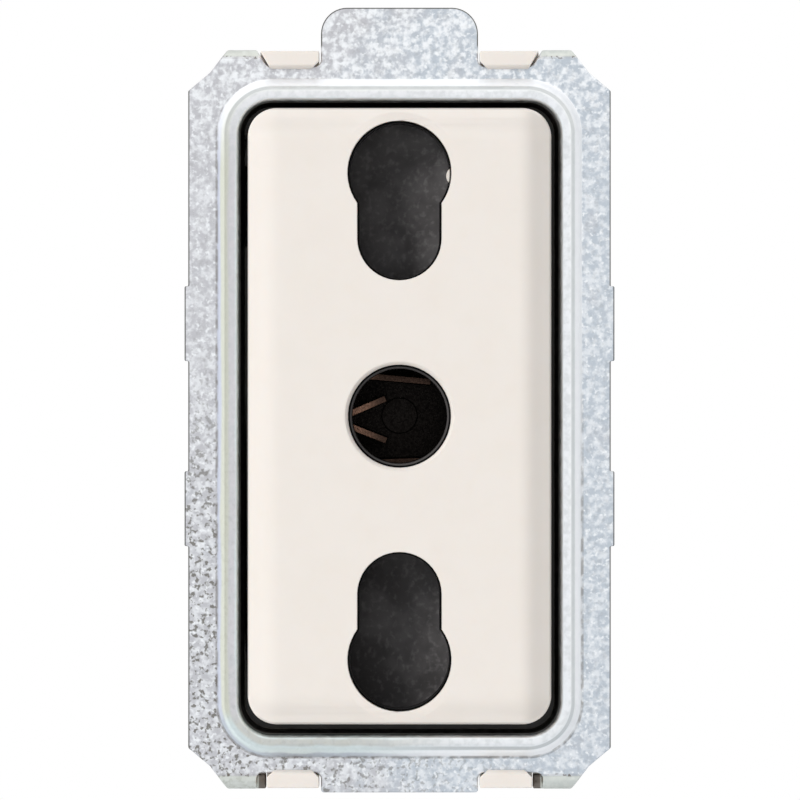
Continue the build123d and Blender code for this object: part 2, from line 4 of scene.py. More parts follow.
import bmesh
import bpy
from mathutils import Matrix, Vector


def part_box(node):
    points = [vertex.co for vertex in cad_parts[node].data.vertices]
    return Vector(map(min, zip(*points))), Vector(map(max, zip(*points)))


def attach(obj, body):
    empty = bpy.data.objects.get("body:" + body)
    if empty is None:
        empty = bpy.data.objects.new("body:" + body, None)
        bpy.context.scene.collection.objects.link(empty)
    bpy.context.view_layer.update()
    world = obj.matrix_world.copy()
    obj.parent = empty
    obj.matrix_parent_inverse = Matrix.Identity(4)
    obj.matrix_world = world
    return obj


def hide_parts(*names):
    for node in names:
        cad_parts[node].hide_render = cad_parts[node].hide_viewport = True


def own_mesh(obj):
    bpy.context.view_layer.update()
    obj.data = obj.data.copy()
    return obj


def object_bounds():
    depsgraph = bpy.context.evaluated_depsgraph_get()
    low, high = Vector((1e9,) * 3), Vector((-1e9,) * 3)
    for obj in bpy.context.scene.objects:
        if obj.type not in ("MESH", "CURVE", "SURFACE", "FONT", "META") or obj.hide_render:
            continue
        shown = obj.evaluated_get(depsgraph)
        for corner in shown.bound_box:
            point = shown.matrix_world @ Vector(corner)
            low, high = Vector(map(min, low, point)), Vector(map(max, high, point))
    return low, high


# Looks of a modular wall socket. Metres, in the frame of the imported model: X across, Z up,
# and Y from the face to the back. Places and sizes in the finishes are in millimetres.
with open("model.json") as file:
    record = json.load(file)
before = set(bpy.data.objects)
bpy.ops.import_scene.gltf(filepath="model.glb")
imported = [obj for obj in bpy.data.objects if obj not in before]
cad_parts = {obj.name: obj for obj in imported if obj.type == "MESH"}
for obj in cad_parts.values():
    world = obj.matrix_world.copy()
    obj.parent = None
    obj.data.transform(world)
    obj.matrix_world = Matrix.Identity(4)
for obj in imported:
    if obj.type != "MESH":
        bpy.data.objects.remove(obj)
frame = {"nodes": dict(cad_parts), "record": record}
cad_low, cad_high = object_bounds()

# Camera, floor and key light, in metres but for the photograph's pixels
MM = 0.001
PHOTO_SIDE = 800
PIXELS_PER_MM = 18.75
ORIGIN_PIXEL = (399.5, 416.2)
CAMERA_DISTANCE = 0.5
NEAREST_SEEN = 0.025
SENSOR = 36.0
FLOOR_HEIGHT = -0.045
FLOOR_RADIUS = 0.52
FLOOR_SIDES = 96
FLOOR_WHITE = (0.93, 0.93, 0.92, 1)
KEY_SIZE = 0.6
KEY_POWER = 13.9
KEY_PLACE = (-0.95, -1.02, 0.56)

# Surroundings: the way each light leans, and its colour from the far side to that side
MIRRORED_LEAN = (0.50, -0.40, 0.76)
MIRRORED_STOPS = (
    (0.12, (0.73, 0.75, 0.72, 1)),
    (0.32, (0.83, 0.83, 0.85, 1)),
    (0.70, (1.00, 1.02, 1.04, 1)),
    (1.0, (1.20, 1.20, 1.20, 1)),
)
SOFT_LEAN = (-0.35, -0.30, 0.88)
SOFT_STOPS = (
    (0.0, (0.10, 0.09, 0.08, 1)),
    (0.5, (0.29, 0.29, 0.29, 1)),
    (1.0, (0.93, 0.98, 1.06, 1)),
)

# Terminal screws
POLES = ("line", "earth", "neutral")
THREAD_PITCH = 0.6 * MM
THREAD_DEPTH = 0.28 * MM
THREAD_ROWS = 10
THREAD_FLANK = 1.35
SHANK_RADIUS = 1.7 * MM
TIP_RADIUS = 1.25 * MM
HEAD_HEIGHT = 1.5 * MM
HEAD_EASE = 0.22 * MM
DRIVE_WIDTH = 0.7 * MM
DRIVE_DEPTH = 0.8 * MM
CROSS_REACH = 1.45 * MM
ROUND_STEPS = 48

# Shading and the breaking of hard edges
SMOOTH_ANGLE = 0.6
EDGE_ANGLE = 0.7
EDGE_SEGMENTS = 2
FLAT_ANGLE = 0.01
WELD_REACH = 0.001 * MM
FLATS_FIRST = 100
EDGE_WIDTHS = {
    "zinc_steel": 0.07,
    "ivory_plastic": 0.06,
    "black_plastic": 0.09,
    "charcoal_plastic": 0.06,
    "copper_alloy": 0.03,
    "brass": 0.05,
    "clamp_steel": 0.06,
}

# The frame seen from the front: its opening, what stands round it, its tab and its side lobes
OPENING = (17.14, 33.88)
OPENING_CENTRE = (0.0, -0.1)
OPENING_CORNER = 1.75
CREASE_EDGE = 1.2
LIP_EDGE = -0.03
FRAME_HALF = 11.3
LOBE_CENTRE = 4.95
LOBE_HALF = 2.0
LOBE_REACH = 0.2
SHEET = 0.8
FRAME_TOP = 19.6
TAB = (8.4, 4.5)
TAB_CORNER = 1.4

# The ears' folded bands begin here, and the folded lips behind the lower notches stand here
EAR_ACROSS = 7.6
EAR_UP = 19.2
NOTCH_LIP = 7.36
NOTCH_LIP_HALF = 0.2
NOTCH_LIP_TOP = -18.5

# The guide's front and its earth bore, and the upper keyhole with its nib
GUIDE_FRONT = -0.8
EARTH_BORE = 2.55
KEYHOLE_CENTRE = 13.0
KEYHOLE_RADIUS = 2.775
NIB_CENTRE = (3.0, 12.85)
NIB_RADIUS = 0.5
HOLE_LAND = 0.4

# The face rolls off towards its edges: its half sizes, how far in, and how steeply at the left
# and right, and at the bottom and top. A facet counts as the face between the FACING cosines of
# its angle to straight forward.
FACE_HALF = (8.1, 16.45)
FACE_CENTRE = (0.0, -0.1)
ROLL_FULL = 0.7
ROLL_REACH = 1.9
ROLL_SLOPES = ((0.30, 0.52), (0.38, 0.52))
FACING = (0.80, 0.86)
GAP_DEPTH = -1.45
GAP_END = 2.0

# Where the zinc's left side, low end and high end fade in
LEFT_SIDE = (-9.4, 9.4)
LOW_END = (-8.0, 6.0)
HIGH_END = (13.0, 19.0)

# The sizes of the zinc's patterns, some of them painted light and shade, the noise between which
# each one comes in, and how far it covers
TINT_SIZE = 1.8
TINT_LEVELS = (0.45, 0.85)
TINT_BY_NOISE = 0.8
TINT_BY_SIDE = 0.5
CLOUD_SIZE = 0.34
CLOUD_LEVELS = (0.36, 0.70)
CLOUD_SHARE = 0.62
# more pale clouds at the top end, as painted light
CLOUD_LIGHT_ADDED_HIGH = 0.30
SPOT_SIZE = 0.24
SPOT_LEVELS = (0.53, 0.64)
SPOT_SHARE = 0.12
SPOT_SHARE_ADDED_LOW_LEFT = 0.80
FLECK_SIZE = 0.26
FLECK_LEVELS = (0.53, 0.72)
FLECK_SHARE = 0.80
# Uneven painted shade in the rim's crease
CREASE_SHADE_SIZE = 0.5
CREASE_SHADE_LEVELS = (0.35, 0.6)
CREASE_SHADE_SHARES = (0.15, 0.6)
GRAIN_SIZE = 0.28
GRAIN_TILT = 0.05
DENT_SIZE = 0.4
DENT_DEPTH = 0.006
SHEEN_SIZE = 0.6
SHEEN_LEVELS = (0.3, 0.7)
SHEEN_ROUGHNESS = (0.30, 0.44)

# Half widths of the painted shade lines at the front corners, in the crease and where an ear's band
# begins
CORNER_LINE = 0.04
CREASE_LINE = 0.05
EAR_LINE = 0.05
EAR_LINE_SHARES = (0.2, 0.9)
EAR_SHARE = 0.8

# The rim's film, by distance from the opening: where each tint gives way to the next one, and
# its lines of painted highlight and shade, each with its middle and half its width
FILM_SIZE = 1.4
FILM_DRIFT = 0.3
FILM_STRETCH = (1, 1, 0.3)
FILM_CHANGES = ((0.28, 0.42), (0.62, 0.82), (1.06, 1.20))
FILM_SHARE = 0.92
LIT_SIDE_FADE = (0.15, 0.75)
LIT_PALE_SHARE = 0.85
RIM_UNDERSIDE = (-16.6, -15.6)
CREST_HIGHLIGHT = (0.78, 0.90)
SHADE_LINE = (0.70, 0.06)
SHADE_SHARE = 0.75
LEDGE_LINE = (0.38, 0.14)
LEDGE_SHARE = 0.40
OUTER_SLOPE = (0.72, 0.85)
LIP_DEPTH = (-1.0, -0.75)
DULL_METALLIC = 0.35

# Plastics: drift of colour and specks, as noise levels and as shares of the paler colour
DRIFT_SIZE = 2.6
DRIFT_LEVELS = (0.38, 0.66)
DRIFT_SHARE = 0.4
SPECK_LEVELS = (0.48, 0.74)
SPECK_SHARE = 0.35
SPECK_GLOSS = 0.85
SKIN_SPREAD = 1.4
BORE_MOUTH = 0.07
BLACK_SPECULAR = (0.3, 0.02)

# How much light goes into the ivory, how deep in metres, and how red, green and blue share it
IVORY_DEPTH_SHARE = 0.15
IVORY_DEPTH = 0.0006
IVORY_DEPTH_BY_COLOUR = (0.9, 0.6, 0.4)

# Bare metals: rolling lines and tarnish, and painted shade on the contacts
LINE_SIZE = 0.12
LINE_DEPTH = 0.004
LINE_LEVELS = (0.3, 0.7)
LINE_SPREAD = 0.2
TARNISH_SIZE = 1.6
TARNISH_LEVELS = (0.35, 0.70)
ALONG_DEPTH = (1, 0.1, 1)
ALONG_CAGE = (1, 0.3, 1)
ALL_WAYS = (1, 1, 1)
COPPER_SHADE_DEPTHS = (7.4, 11.0)
COPPER_SHADE_WIDTHS = (-2.3, -0.9)
BRASS_SHADE_DEPTHS = (18.0, 17.7)
WIDTH_SHADE_SHARE = 0.8

# Colours, linear
ZINC_LILAC = (0.56, 0.555, 0.575, 1)
ZINC_BLUE = (0.53, 0.575, 0.625, 1)
ZINC_DULL = (0.20, 0.19, 0.17, 1)
ZINC_PALE = (0.93, 0.94, 0.95, 1)
# Painted shade along the front corners
ZINC_EDGE_SHADE = (0.09, 0.087, 0.078, 1)
RIM_LAVENDER = (0.60, 0.63, 0.72, 1)
RIM_STRAW = (0.66, 0.67, 0.56, 1)
RIM_GREY = (0.66, 0.64, 0.65, 1)
RIM_CYAN = (0.72, 0.80, 0.79, 1)
RIM_SHADE = (0.50, 0.52, 0.52, 1)
RIM_OLIVE = (0.60, 0.60, 0.55, 1)
# Painted shade in the crease, on the lips behind the lower notches and at the ears' folds
DEEP_SHADE = (0.17, 0.15, 0.13, 1)
# Painted reflection and shade on the lip turned back inside the opening
LIP_SHADE_TAUPE = (0.24, 0.20, 0.15, 1)
LIP_SHADE_BROWN = (0.06, 0.05, 0.035, 1)
LIP_SHADE_BLACK = (0.010, 0.008, 0.006, 1)
EAR_PALE = (0.66, 0.68, 0.62, 1)
IVORY = (0.74, 0.68, 0.617, 1)
IVORY_WARM = (0.725, 0.66, 0.59, 1)
CHARCOAL = (0.050, 0.045, 0.044, 1)
CHARCOAL_PALE = (0.220, 0.205, 0.200, 1)
BLACK = (0.014, 0.013, 0.013, 1)
BLACK_PALE = (0.036, 0.034, 0.034, 1)
DARKEST = (0.003, 0.003, 0.003, 1)
# Painted shade on the ivory neck and collar in the gap round the face
GAP_SHADE_BROWN = (0.035, 0.028, 0.020, 1)
GAP_SHADE_TAUPE = (0.55, 0.46, 0.35, 1)
# Painted light at the earth bore's mouth
BORE_LIT_GREY = (0.075, 0.068, 0.065, 1)
COPPER = (0.26, 0.145, 0.10, 1)
COPPER_DARK = (0.13, 0.07, 0.05, 1)
# Painted shade on the contacts
CONTACT_SHADE = (0.012, 0.010, 0.009, 1)
BRASS = (0.66, 0.48, 0.22, 1)
BRASS_DARK = (0.40, 0.27, 0.11, 1)
STEEL = (0.56, 0.56, 0.55, 1)
STEEL_DARK = (0.30, 0.29, 0.27, 1)
WHITE = (1, 1, 1, 1)


def node(tree, kind, inputs=None, **settings):
    """Add a shader node, with its settings and its inputs as values or links."""
    made = tree.nodes.new(kind)
    for key, value in settings.items():
        setattr(made, key, value)
    for key, value in (inputs or {}).items():
        if isinstance(value, bpy.types.NodeSocket):
            tree.links.new(value, made.inputs[key])
        else:
            made.inputs[key].default_value = value
    return made


class Finish:
    """A principled material, with short calls for the patterns that the finishes share."""

    def __init__(self, name, metallic=0.0, roughness=0.5):
        self.material = bpy.data.materials.new(name)
        self.material.use_nodes = True
        self.tree = self.material.node_tree
        self.shader = self.tree.nodes["Principled BSDF"]
        self.set("Metallic", metallic)
        self.set("Roughness", roughness)
        place = node(self.tree, "ShaderNodeTexCoord").outputs["Object"]
        self.place = self.vector("SCALE", {0: place, "Scale": 1 / MM}).outputs["Vector"]
        self.axes = node(self.tree, "ShaderNodeSeparateXYZ", {0: self.place}).outputs

    def set(self, name, value):
        if isinstance(value, bpy.types.NodeSocket):
            self.tree.links.new(value, self.shader.inputs[name])
        else:
            self.shader.inputs[name].default_value = value

    def vector(self, operation, inputs):
        return node(self.tree, "ShaderNodeVectorMath", inputs, operation=operation)

    def math(self, operation, first, second=0.0, third=0.0):
        inputs = {0: first, 1: second, 2: third}
        return node(self.tree, "ShaderNodeMath", inputs, operation=operation).outputs[0]

    def both(self, first, *others):
        """The product of shares: how far all of them hold."""
        for other in others:
            first = self.math("MULTIPLY", first, other)
        return first

    def either(self, first, second):
        return self.math("MAXIMUM", first, second)

    def opposite(self, share):
        return self.math("SUBTRACT", 1.0, share)

    def away(self, value, middle=0.0):
        """How far a value is from this middle, either way."""
        return self.math("ABSOLUTE", self.math("SUBTRACT", value, middle))

    def noise(self, size, detail=2.0, stretch=ALL_WAYS):
        """Smooth noise whose features are about this size."""
        place = self.vector("MULTIPLY", {0: self.place, 1: stretch}).outputs[0]
        inputs = {"Vector": place, "Scale": 1 / size, "Detail": detail}
        return node(self.tree, "ShaderNodeTexNoise", inputs).outputs["Fac"]

    def cells(self, size):
        """A random colour for each grain of this size."""
        inputs = {"Vector": self.place, "Scale": 1 / size}
        return node(self.tree, "ShaderNodeTexVoronoi", inputs).outputs["Color"]

    def step(self, value, low, high, to_low=0.0, to_high=1.0):
        """Map value from low..high to to_low..to_high, smoothly and held at both ends."""
        inputs = {0: value, 1: low, 2: high, 3: to_low, 4: to_high}
        mapped = node(self.tree, "ShaderNodeMapRange", inputs, interpolation_type="SMOOTHSTEP")
        return mapped.outputs[0]

    def fade(self, value, low, high):
        """One up to low, and nothing from high on."""
        return self.step(value, low, high, 1.0, 0.0)

    def band(self, value, middle, half):
        """One within half of the middle, and fading to nothing at twice that."""
        return self.fade(self.away(value, middle), half, 2 * half)

    def mix(self, share, first, second):
        inputs = {0: share, 6: first, 7: second}
        return node(self.tree, "ShaderNodeMix", inputs, data_type="RGBA").outputs[2]

    def box_distance(self, size, centre, corner):
        """How far outside a round-cornered box a point is, seen from the front."""
        reach = []
        for axis, side, middle in zip((0, 2), size, centre):
            off_centre = self.away(self.axes[axis], middle)
            reach.append(self.math("SUBTRACT", off_centre, side / 2 - corner))
        outside = [self.either(value, 0.0) for value in reach]
        squares = [self.both(value, value) for value in outside]
        length = self.math("SQRT", self.math("ADD", *squares))
        inside = self.math("MINIMUM", self.either(*reach), 0.0)
        return self.math("SUBTRACT", self.math("ADD", length, inside), corner)

    def centre_distance(self, height, middle=0.0):
        """How far a point is, seen from the front, from this height and width."""
        across = self.math("SUBTRACT", self.axes[0], middle)
        up = self.math("SUBTRACT", self.axes[2], height)
        return self.math("SQRT", self.math("MULTIPLY_ADD", up, up, self.both(across, across)))

    def bump(self, height, depth, normal=None):
        """Bump of this depth where height is 1."""
        inputs = {"Height": height, "Distance": depth * MM, "Strength": 1.0}
        if normal is not None:
            inputs["Normal"] = normal
        return node(self.tree, "ShaderNodeBump", inputs).outputs[0]

    def tilt(self, colour, amount):
        """The surface's normal, tipped a little by each grain's random colour."""
        normal = node(self.tree, "ShaderNodeNewGeometry").outputs["Normal"]
        centred = self.vector("SUBTRACT", {0: colour, 1: (0.5, 0.5, 0.5)}).outputs[0]
        scaled = self.vector("SCALE", {0: centred, "Scale": amount}).outputs[0]
        added = self.vector("ADD", {0: normal, 1: scaled}).outputs[0]
        return self.vector("NORMALIZE", {0: added}).outputs[0]


def roll_edges(finish):
    """Turn the face's normals outwards near its edges, but not on the flat land round a hole."""
    holes = [finish.centre_distance(height) for height in (KEYHOLE_CENTRE, -KEYHOLE_CENTRE)]
    from_hole = finish.math("SUBTRACT", finish.math("MINIMUM", *holes), KEYHOLE_RADIUS)
    off_land = finish.step(from_hole, HOLE_LAND, HOLE_LAND + 0.15)
    leans = []
    for axis, half, centre, slopes in zip((0, 2), FACE_HALF, FACE_CENTRE, ROLL_SLOPES):
        across = finish.math("SUBTRACT", finish.axes[axis], centre)
        inward = finish.math("SUBTRACT", half, finish.away(across))
        slope = finish.step(across, -1.0, 1.0, *slopes)
        rolled = finish.step(inward, ROLL_FULL, ROLL_REACH, slope, 0.0)
        leans.append(finish.both(rolled, off_land, finish.math("SIGN", across)))
    leaning = node(finish.tree, "ShaderNodeCombineXYZ", {0: leans[0], 1: -1.0, 2: leans[1]})
    turned = finish.vector("NORMALIZE", {0: leaning.outputs[0]}).outputs[0]
    geometry = node(finish.tree, "ShaderNodeNewGeometry").outputs
    forward = finish.vector("DOT_PRODUCT", {0: geometry["True Normal"], 1: (0, -1, 0)})
    face = finish.step(forward.outputs["Value"], *FACING)
    face = finish.both(face, finish.fade(finish.axes[1], GAP_DEPTH - 0.2, GAP_DEPTH - 0.1))
    inputs = {0: face, 4: geometry["Normal"], 5: turned}
    mixed = node(finish.tree, "ShaderNodeMix", inputs, data_type="VECTOR")
    finish.set("Normal", mixed.outputs[1])


def zinc_flats(finish, left, low, high, clouds, spots):
    """Bluish on the right and lilac on the left, with pale clouds, more of them toward the top as
    painted light, dull spots and pale flecks.
    """
    by_side = finish.both(left, TINT_BY_SIDE)
    tint = finish.math("MULTIPLY_ADD", finish.noise(TINT_SIZE), TINT_BY_NOISE, by_side)
    colour = finish.mix(finish.step(tint, *TINT_LEVELS), ZINC_BLUE, ZINC_LILAC)
    # painted light: more pale clouds toward the top end
    cloud_share = finish.math("MULTIPLY_ADD", high, CLOUD_LIGHT_ADDED_HIGH, CLOUD_SHARE)
    colour = finish.mix(finish.both(clouds, cloud_share), colour, ZINC_PALE)
    # dull spots, thickest low on the left side
    low_left = finish.both(left, low)
    spot_share = finish.math("MULTIPLY_ADD", low_left, SPOT_SHARE_ADDED_LOW_LEFT, SPOT_SHARE)
    colour = finish.mix(finish.both(spots, spot_share), colour, ZINC_DULL)
    flecks = finish.step(finish.noise(FLECK_SIZE), *FLECK_LEVELS)
    return finish.mix(finish.both(flecks, FLECK_SHARE), colour, ZINC_PALE)


def zinc_folds(finish, colour, spots):
    """The lips behind the lower notches are painted in shade, and the ears' smoother bands are
    paler, each beginning with a painted shade line.
    """
    width, depth, height = finish.axes[0], finish.axes[1], finish.axes[2]
    # painted shade on the lips behind the lower notches
    behind = finish.both(
        finish.band(finish.away(width), NOTCH_LIP, NOTCH_LIP_HALF),
        finish.step(depth, -0.08, -0.04),
        finish.fade(height, NOTCH_LIP_TOP - 0.1, NOTCH_LIP_TOP),
    )
    colour = finish.mix(behind, colour, DEEP_SHADE)
    # painted shade: each ear's band begins with an uneven dark line at its fold
    fold = finish.math("SUBTRACT", finish.away(height), EAR_UP)
    outer = finish.step(finish.away(width), EAR_ACROSS - 0.1, EAR_ACROSS)
    folded = finish.both(finish.step(fold, 0.0, 0.08), outer, EAR_SHARE)
    colour = finish.mix(folded, colour, EAR_PALE)
    uneven = finish.step(spots, 0.0, 1.0, *EAR_LINE_SHARES)
    line = finish.both(finish.band(fold, 0.0, EAR_LINE), outer, uneven)
    return finish.mix(line, colour, DEEP_SHADE)


def zinc_corners(finish, colour):
    """Painted shade: a dark line along the front corners down the sides and round the tab, where
    the sheet bends back.
    """
    tab = finish.box_distance(TAB, (0.0, FRAME_TOP), TAB_CORNER)
    above = finish.step(finish.axes[2], FRAME_TOP, FRAME_TOP + 0.3)
    tab_edge = finish.both(finish.band(tab, 0.0, CORNER_LINE), above)
    off_lobe = finish.away(finish.away(finish.axes[2]), LOBE_CENTRE)
    on_lobe = finish.fade(off_lobe, LOBE_HALF - 0.05, LOBE_HALF + 0.05)
    side = finish.math("MULTIPLY_ADD", on_lobe, LOBE_REACH, FRAME_HALF)
    side_edge = finish.band(finish.away(finish.axes[0]), side, CORNER_LINE)
    in_front = finish.fade(finish.axes[1], 0.04 - SHEET, 0.10 - SHEET)
    return finish.mix(finish.both(finish.either(tab_edge, side_edge), in_front), colour, ZINC_EDGE_SHADE)


def rim_film(finish, left, high, clouds, distance):
    """A thin film that drifts from cyan at the opening through grey and straw to lavender, painted
    pale and white on its lit sides.
    """
    noise = finish.noise(FILM_SIZE, stretch=FILM_STRETCH)
    drifted = finish.math("MULTIPLY_ADD", noise, FILM_DRIFT, distance)
    under = finish.fade(finish.axes[2], *RIM_UNDERSIDE)
    film = RIM_CYAN
    tints = ((RIM_GREY, RIM_OLIVE), (RIM_STRAW, RIM_CYAN), (RIM_LAVENDER, ZINC_BLUE))
    for change, (tint, tint_under) in zip(FILM_CHANGES, tints):
        film = finish.mix(finish.step(drifted, *change), film, finish.mix(under, tint, tint_under))
    # painted highlight: on the right and at the top, the lit sides, it is painted pale with a white
    # crest, and one grey line of painted shade
    clear = finish.either(finish.fade(left, *LIT_SIDE_FADE), high)
    film = finish.mix(finish.both(clear, LIT_PALE_SHARE), film, ZINC_PALE)
    film = finish.mix(finish.both(finish.step(distance, *CREST_HIGHLIGHT), clear), film, WHITE)
    line = finish.both(finish.band(distance, *SHADE_LINE), clear, SHADE_SHARE)
    film = finish.mix(line, film, RIM_SHADE)
    ledge = finish.both(finish.band(distance, *LEDGE_LINE), clouds, LEDGE_SHARE)
    return finish.mix(ledge, film, RIM_SHADE)


def zinc_finish():
    """Zinc plating: mottled flats with dull spots and pale flecks, and a clean tinted rim, with
    painted light and shade on the rim, its crease, its lip and the corners.
    """
    finish = Finish("zinc_plate", metallic=1.0)
    left = finish.fade(finish.axes[0], *LEFT_SIDE)
    low = finish.fade(finish.axes[2], *LOW_END)
    high = finish.step(finish.axes[2], *HIGH_END)
    clouds = finish.step(finish.noise(CLOUD_SIZE), *CLOUD_LEVELS)
    spots = finish.step(finish.noise(SPOT_SIZE), *SPOT_LEVELS)
    colour = zinc_flats(finish, left, low, high, clouds, spots)
    colour = zinc_folds(finish, colour, spots)
    colour = zinc_corners(finish, colour)
    distance = finish.box_distance(OPENING, OPENING_CENTRE, OPENING_CORNER)
    film = rim_film(finish, left, high, clouds, distance)
    rim = finish.fade(distance, CREASE_EDGE - 0.04, CREASE_EDGE + 0.02)
    colour = finish.mix(finish.both(rim, FILM_SHARE), colour, film)
    # painted shade in the crease at the rim's foot, uneven, on the left side and the low end but
    # not the high end
    uneven = finish.step(finish.noise(CREASE_SHADE_SIZE), *CREASE_SHADE_LEVELS, *CREASE_SHADE_SHARES)
    crease = finish.both(finish.band(distance, CREASE_EDGE, CREASE_LINE), uneven)
    shaded_sides = finish.both(finish.either(left, low), finish.opposite(high))
    colour = finish.mix(finish.both(crease, shaded_sides), colour, DEEP_SHADE)
    # painted reflection and shade: the lip turned back inside the opening is painted taupe on the
    # left and at the top, dark brown elsewhere, and black further in
    lip = finish.fade(distance, LIP_EDGE - 0.06, LIP_EDGE)
    lip_shade_tint = finish.mix(finish.either(left, high), LIP_SHADE_BROWN, LIP_SHADE_TAUPE)
    lip_shade = finish.mix(finish.step(finish.axes[1], *LIP_DEPTH), lip_shade_tint, LIP_SHADE_BLACK)
    finish.set("Base Color", finish.mix(lip, colour, lip_shade))
    # the lip and the rim's outer slope mirror less
    dull = finish.either(finish.both(finish.step(distance, *OUTER_SLOPE), rim), lip)
    finish.set("Metallic", finish.step(dull, 0.0, 1.0, 1.0, DULL_METALLIC))
    sheen = finish.step(finish.noise(SHEEN_SIZE, 3.0), *SHEEN_LEVELS, *SHEEN_ROUGHNESS)
    finish.set("Roughness", sheen)
    tilted = finish.tilt(finish.cells(GRAIN_SIZE), GRAIN_TILT)
    finish.set("Normal", finish.bump(finish.noise(DENT_SIZE, 3.0), DENT_DEPTH, tilted))
    return finish.material


def plastic_finish(name, base, pale, roughness, speck_size, depth=None):
    """Moulded plastic: a slight drift of colour and, where depth is given, a fine skin texture."""
    finish = Finish(name, roughness=roughness)
    drift = finish.step(finish.noise(DRIFT_SIZE, 3.0), *DRIFT_LEVELS)
    specks = finish.step(finish.noise(speck_size, 3.0), *SPECK_LEVELS)
    share = finish.math("MULTIPLY_ADD", specks, SPECK_SHARE, finish.both(drift, DRIFT_SHARE))
    finish.colour = finish.mix(share, base, pale)
    finish.set("Base Color", finish.colour)
    finish.set("Roughness", finish.step(specks, 0.0, 1.0, roughness, roughness * SPECK_GLOSS))
    if depth is not None:
        finish.set("Normal", finish.bump(finish.noise(speck_size * SKIN_SPREAD, 3.0), depth))
    return finish


def ivory_finish():
    """Ivory plastic with a rolled face, and painted shade in the gap round the face."""
    finish = plastic_finish("ivory_moulding", IVORY, IVORY_WARM, roughness=0.42, speck_size=0.9)
    # painted shade: the neck in the gap is painted dark brown, and the collar beside it taupe, for
    # ivory seen in shade
    opening = finish.box_distance(OPENING, OPENING_CENTRE, OPENING_CORNER)
    sunk = finish.both(
        finish.step(finish.axes[1], GAP_DEPTH - 0.1, GAP_DEPTH),
        finish.fade(opening, -0.05, 0.3),
        finish.fade(finish.axes[1], GAP_END, GAP_END + 0.5),
    )
    # but not the tip of the nib that shows inside the upper keyhole
    from_nib = finish.centre_distance(NIB_CENTRE[1], NIB_CENTRE[0])
    nib = finish.fade(from_nib, NIB_RADIUS, NIB_RADIUS + 0.05)
    from_keyhole = finish.centre_distance(KEYHOLE_CENTRE)
    inside = finish.fade(from_keyhole, KEYHOLE_RADIUS - 0.12, KEYHOLE_RADIUS - 0.07)
    dark = finish.both(sunk, finish.opposite(finish.both(nib, inside)))
    gap = finish.mix(finish.step(opening, -0.30, -0.20), GAP_SHADE_BROWN, GAP_SHADE_TAUPE)
    finish.set("Base Color", finish.mix(dark, finish.colour, gap))
    roll_edges(finish)
    finish.set("Subsurface Weight", IVORY_DEPTH_SHARE)
    finish.set("Subsurface Radius", IVORY_DEPTH_BY_COLOUR)
    finish.set("Subsurface Scale", IVORY_DEPTH)
    return finish.material


def black_finish():
    """Black plastic, painted darkest for the shade between the face and the guide behind it, and a
    paler grey for the light at the earth bore's mouth.
    """
    finish = plastic_finish(
        "black_moulding", BLACK, BLACK_PALE, roughness=0.42, speck_size=0.5, depth=0.004
    )
    # painted highlight: a paler grey ring at the earth bore's mouth, in front; painted shade on the
    # guide's front elsewhere
    mouth = finish.band(finish.centre_distance(0.0), EARTH_BORE, BORE_MOUTH)
    shade = finish.fade(finish.axes[1], GUIDE_FRONT + 0.01, GUIDE_FRONT + 0.04)
    shade = finish.both(shade, finish.opposite(mouth))
    in_front = finish.fade(finish.axes[1], 0.0, 1.0)
    colour = finish.mix(finish.both(mouth, in_front), finish.colour, BORE_LIT_GREY)
    finish.set("Base Color", finish.mix(shade, colour, DARKEST))
    finish.set("Specular IOR Level", finish.step(shade, 0.0, 1.0, *BLACK_SPECULAR))
    return finish.material


def metal_finish(name, bright, dull, roughness, direction, shaded_depths=None, shaded_widths=None):
    """Bare or plated sheet metal: fine rolling lines along one way, and cloudy tarnish.

    Painted shade: the metal darkens from the first to the second of two depths, and of two widths,
    where little light reaches."""
    finish = Finish(name, metallic=1.0)
    lines = finish.noise(LINE_SIZE, stretch=direction)
    tarnish = finish.step(finish.noise(TARNISH_SIZE, 4.0), *TARNISH_LEVELS)
    colour = finish.mix(tarnish, bright, dull)
    # painted shade by depth and by width, where little light reaches the contacts
    if shaded_depths is not None:
        colour = finish.mix(finish.step(finish.axes[1], *shaded_depths), colour, CONTACT_SHADE)
    if shaded_widths is not None:
        share = finish.step(finish.axes[0], *shaded_widths, 0.0, WIDTH_SHADE_SHARE)
        colour = finish.mix(share, colour, CONTACT_SHADE)
    finish.set("Base Color", colour)
    smooth, rough = roughness * (1 - LINE_SPREAD), roughness * (1 + LINE_SPREAD)
    finish.set("Roughness", finish.step(lines, *LINE_LEVELS, smooth, rough))
    finish.set("Normal", finish.bump(lines, LINE_DEPTH))
    return finish.material


finishes = {
    "zinc_steel": zinc_finish(),
    "ivory_plastic": ivory_finish(),
    "black_plastic": black_finish(),
    "charcoal_plastic": plastic_finish(
        "charcoal_moulding", CHARCOAL, CHARCOAL_PALE, roughness=0.60, speck_size=0.30, depth=0.012
    ).material,
    "copper_alloy": metal_finish(
        "copper_sheet",
        COPPER,
        COPPER_DARK,
        roughness=0.30,
        direction=ALONG_DEPTH,
        shaded_depths=COPPER_SHADE_DEPTHS,
        shaded_widths=COPPER_SHADE_WIDTHS,
    ),
    "brass": metal_finish(
        "brass_sheet",
        BRASS,
        BRASS_DARK,
        roughness=0.28,
        direction=ALONG_DEPTH,
        shaded_depths=BRASS_SHADE_DEPTHS,
    ),
    "clamp_steel": metal_finish(
        "clamp_plate", STEEL, STEEL_DARK, roughness=0.36, direction=ALONG_CAGE
    ),
    "screw_steel": metal_finish(
        "screw_plate", STEEL, STEEL_DARK, roughness=0.30, direction=ALL_WAYS
    ),
    "spring_steel": metal_finish(
        "spring_wire", STEEL, STEEL_DARK, roughness=0.25, direction=ALL_WAYS
    ),
}


